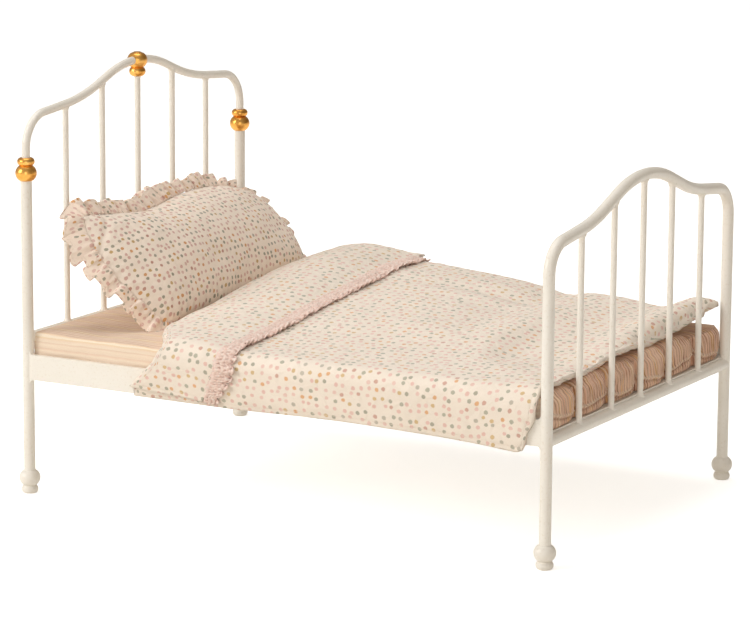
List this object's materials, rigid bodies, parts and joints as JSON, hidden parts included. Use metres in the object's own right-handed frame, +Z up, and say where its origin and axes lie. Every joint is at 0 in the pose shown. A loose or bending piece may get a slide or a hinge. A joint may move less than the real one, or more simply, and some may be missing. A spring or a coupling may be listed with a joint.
{
  "type": "miniature bed",
  "caption": "Doll's Victorian-style metal bed in cream paint with gilt knobs, arched head and foot, striped mattress, dotted duvet with lace edge, and frilled pillow.",
  "frame": {"origin": "on the floor, at the middle of the footprint of the whole bed", "axes": "+X from the head end to the foot end, +Y from the side where the duvet hangs over the rail to the far side, +Z up"},
  "size_m": [0.282, 0.2014, 0.1997],
  "materials": {
    "cream_paint": "satin cream paint over steel wire and tube",
    "gilt": "polished gilt",
    "striped_cotton": "woven cotton with lengthwise stripes",
    "stuffing": "loose fibre, hidden",
    "dotted_cotton": "matt cotton with small coloured dots",
    "pink_crochet": "crocheted cotton edging"
  },
  "bodies": {
    "frame": {"head_post_front": "cream_paint", "head_post_back": "cream_paint", "head_arch": "cream_paint", "head_cross_rail": "cream_paint", "head_baluster_1": "cream_paint", "head_baluster_2": "cream_paint", "head_baluster_3": "cream_paint", "head_baluster_4": "cream_paint", "head_baluster_5": "cream_paint", "finial_front": "gilt", "finial_back": "gilt", "finial_center": "gilt", "foot_hoop": "cream_paint", "foot_cross_rail": "cream_paint", "foot_baluster_1": "cream_paint", "foot_baluster_2": "cream_paint", "foot_baluster_3": "cream_paint", "foot_baluster_4": "cream_paint", "foot_baluster_5": "cream_paint", "side_rail_front": "cream_paint", "side_rail_back": "cream_paint", "bed_base": "cream_paint", "turned_foot_head_front": "cream_paint", "turned_foot_head_back": "cream_paint", "turned_foot_foot_front": "cream_paint", "turned_foot_foot_back": "cream_paint"},
    "mattress": {"mattress_cover": "striped_cotton", "mattress_filling": "stuffing"},
    "duvet": {"duvet": "dotted_cotton", "lace_trim": "pink_crochet"},
    "pillow": {"pillow_cover": "dotted_cotton", "pillow_filling": "stuffing", "pillow_ruffle": "dotted_cotton"}
  },
  "joints": [
    {"name": "mattress_lift", "type": "slide", "parent": "frame", "child": "mattress", "axis": [0, 0, 1], "range_m": [0, 0.15]},
    {"name": "duvet_lift", "type": "slide", "parent": "mattress", "child": "duvet", "axis": [0, 0, 1], "range_m": [0, 0.15]},
    {"name": "pillow_lift", "type": "slide", "parent": "mattress", "child": "pillow", "axis": [0, 0, 1], "range_m": [0, 0.13]}
  ]
}
